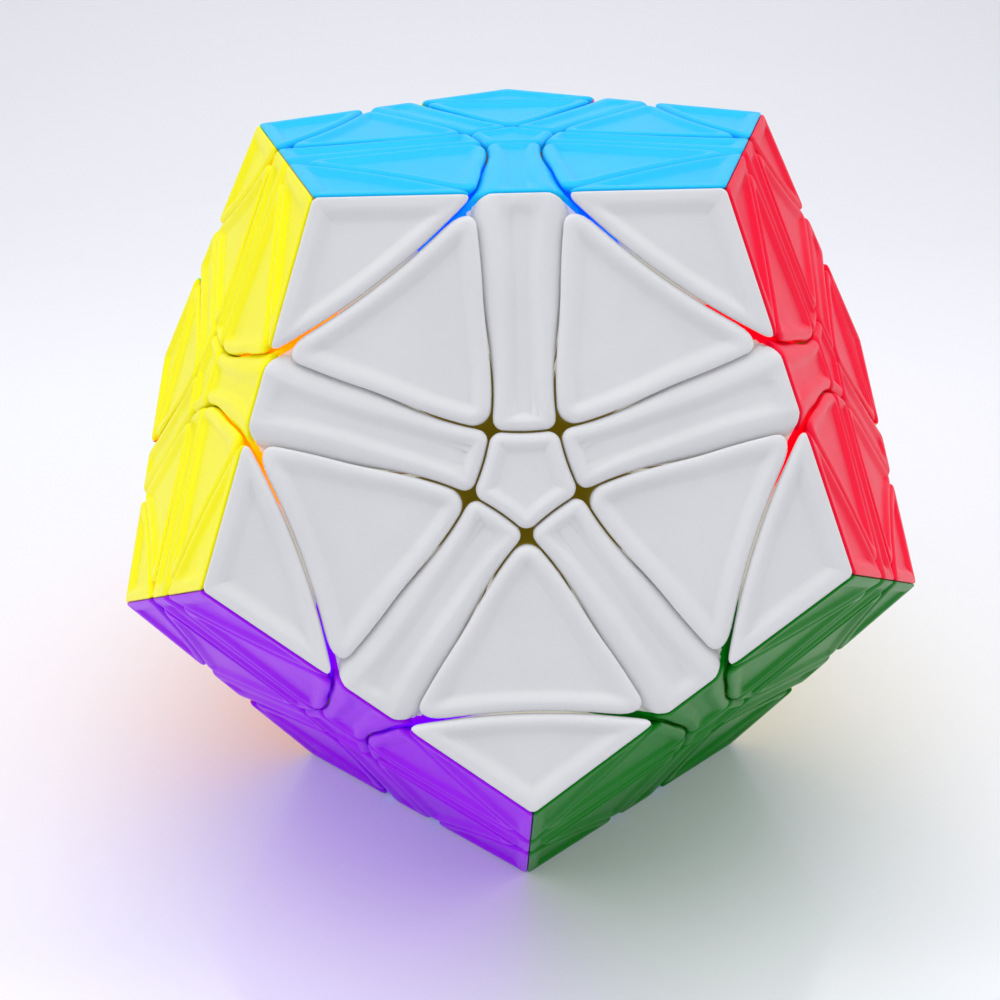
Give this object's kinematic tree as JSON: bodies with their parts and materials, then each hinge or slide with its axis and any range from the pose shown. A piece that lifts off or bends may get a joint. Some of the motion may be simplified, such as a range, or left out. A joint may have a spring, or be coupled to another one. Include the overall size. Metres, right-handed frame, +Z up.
{
  "type": "dodecahedron twisty puzzle",
  "caption": "Stickerless edge-turning dodecahedron puzzle with curved cuts: edge strips, corners, petals and small face centres on a screwed and sprung core.",
  "frame": {"origin": "centre of the core, where all turning axes meet, and centre of the bounding box", "axes": "+Z up from the face it stands on to the opposite face; -Y towards the upper white face"},
  "size_m": [0.1046, 0.11, 0.089],
  "materials": {
    "blue": "polished moulded ABS",
    "white": "polished moulded ABS",
    "red": "polished moulded ABS",
    "pink": "polished moulded ABS",
    "lime": "polished moulded ABS",
    "yellow": "polished moulded ABS",
    "green": "polished moulded ABS",
    "cream": "polished moulded ABS",
    "grey": "polished moulded ABS",
    "orange": "polished moulded ABS",
    "purple": "polished moulded ABS",
    "sky": "polished moulded ABS",
    "inner_plastic": "natural unpolished ABS",
    "core_plastic": "natural unpolished nylon",
    "steel": "zinc-plated steel"
  },
  "bodies": {
    "core": {"core_halves": "core_plastic", "axis_screws": "steel", "springs": "steel", "washers": "steel", "centre_feet": "inner_plastic", "centre_caps": "white", "still_edge_shells": "blue", "still_edge_hubs": "inner_plastic", "still_corner_shells": "white", "still_corner_feet": "inner_plastic", "still_petal_shells": "sky", "still_petal_feet": "inner_plastic"},
    "blue_yellow_layer": {"blue_yellow_edge_shells": "blue", "blue_yellow_edge_hub": "inner_plastic", "blue_yellow_corner_shells": "yellow", "blue_yellow_corner_feet": "inner_plastic", "blue_yellow_petal_shells": "blue", "blue_yellow_petal_feet": "inner_plastic"},
    "white_green_layer": {"white_green_edge_shells": "white", "white_green_edge_hub": "inner_plastic", "white_green_corner_shells": "green", "white_green_corner_feet": "inner_plastic", "white_green_petal_shells": "white", "white_green_petal_feet": "inner_plastic"},
    "red_pink_layer": {"red_pink_edge_shells": "red", "red_pink_edge_hub": "inner_plastic", "red_pink_corner_shells": "pink", "red_pink_corner_feet": "inner_plastic", "red_pink_petal_shells": "red", "red_pink_petal_feet": "inner_plastic"},
    "lime_grey_layer": {"lime_grey_edge_shells": "lime", "lime_grey_edge_hub": "inner_plastic", "lime_grey_corner_shells": "grey", "lime_grey_corner_feet": "inner_plastic", "lime_grey_petal_shells": "lime", "lime_grey_petal_feet": "inner_plastic"},
    "cream_sky_layer": {"cream_sky_edge_shells": "cream", "cream_sky_edge_hub": "inner_plastic", "cream_sky_corner_shells": "sky", "cream_sky_corner_feet": "inner_plastic", "cream_sky_petal_shells": "cream", "cream_sky_petal_feet": "inner_plastic"},
    "orange_purple_layer": {"orange_purple_edge_shells": "orange", "orange_purple_edge_hub": "inner_plastic", "orange_purple_corner_shells": "purple", "orange_purple_corner_feet": "inner_plastic", "orange_purple_petal_shells": "orange", "orange_purple_petal_feet": "inner_plastic"}
  },
  "joints": [
    {"name": "blue_yellow_turn", "type": "hinge", "parent": "core", "child": "blue_yellow_layer", "pos_m": [0, 0, 0], "axis": [-0.5, -0.1625, 0.8507], "continuous": true},
    {"name": "white_green_turn", "type": "hinge", "parent": "core", "child": "white_green_layer", "pos_m": [0, 0, 0], "axis": [0.309, -0.9511, 0], "continuous": true},
    {"name": "red_pink_turn", "type": "hinge", "parent": "core", "child": "red_pink_layer", "pos_m": [0, 0, 0], "axis": [0.809, 0.2629, 0.5257], "continuous": true},
    {"name": "lime_grey_turn", "type": "hinge", "parent": "core", "child": "lime_grey_layer", "pos_m": [0, 0, 0], "axis": [-0.309, 0.9511, 0], "continuous": true},
    {"name": "cream_sky_turn", "type": "hinge", "parent": "core", "child": "cream_sky_layer", "pos_m": [0, 0, 0], "axis": [0.5, 0.1625, -0.8507], "continuous": true},
    {"name": "orange_purple_turn", "type": "hinge", "parent": "core", "child": "orange_purple_layer", "pos_m": [0, 0, 0], "axis": [-0.809, -0.2629, -0.5257], "continuous": true}
  ]
}
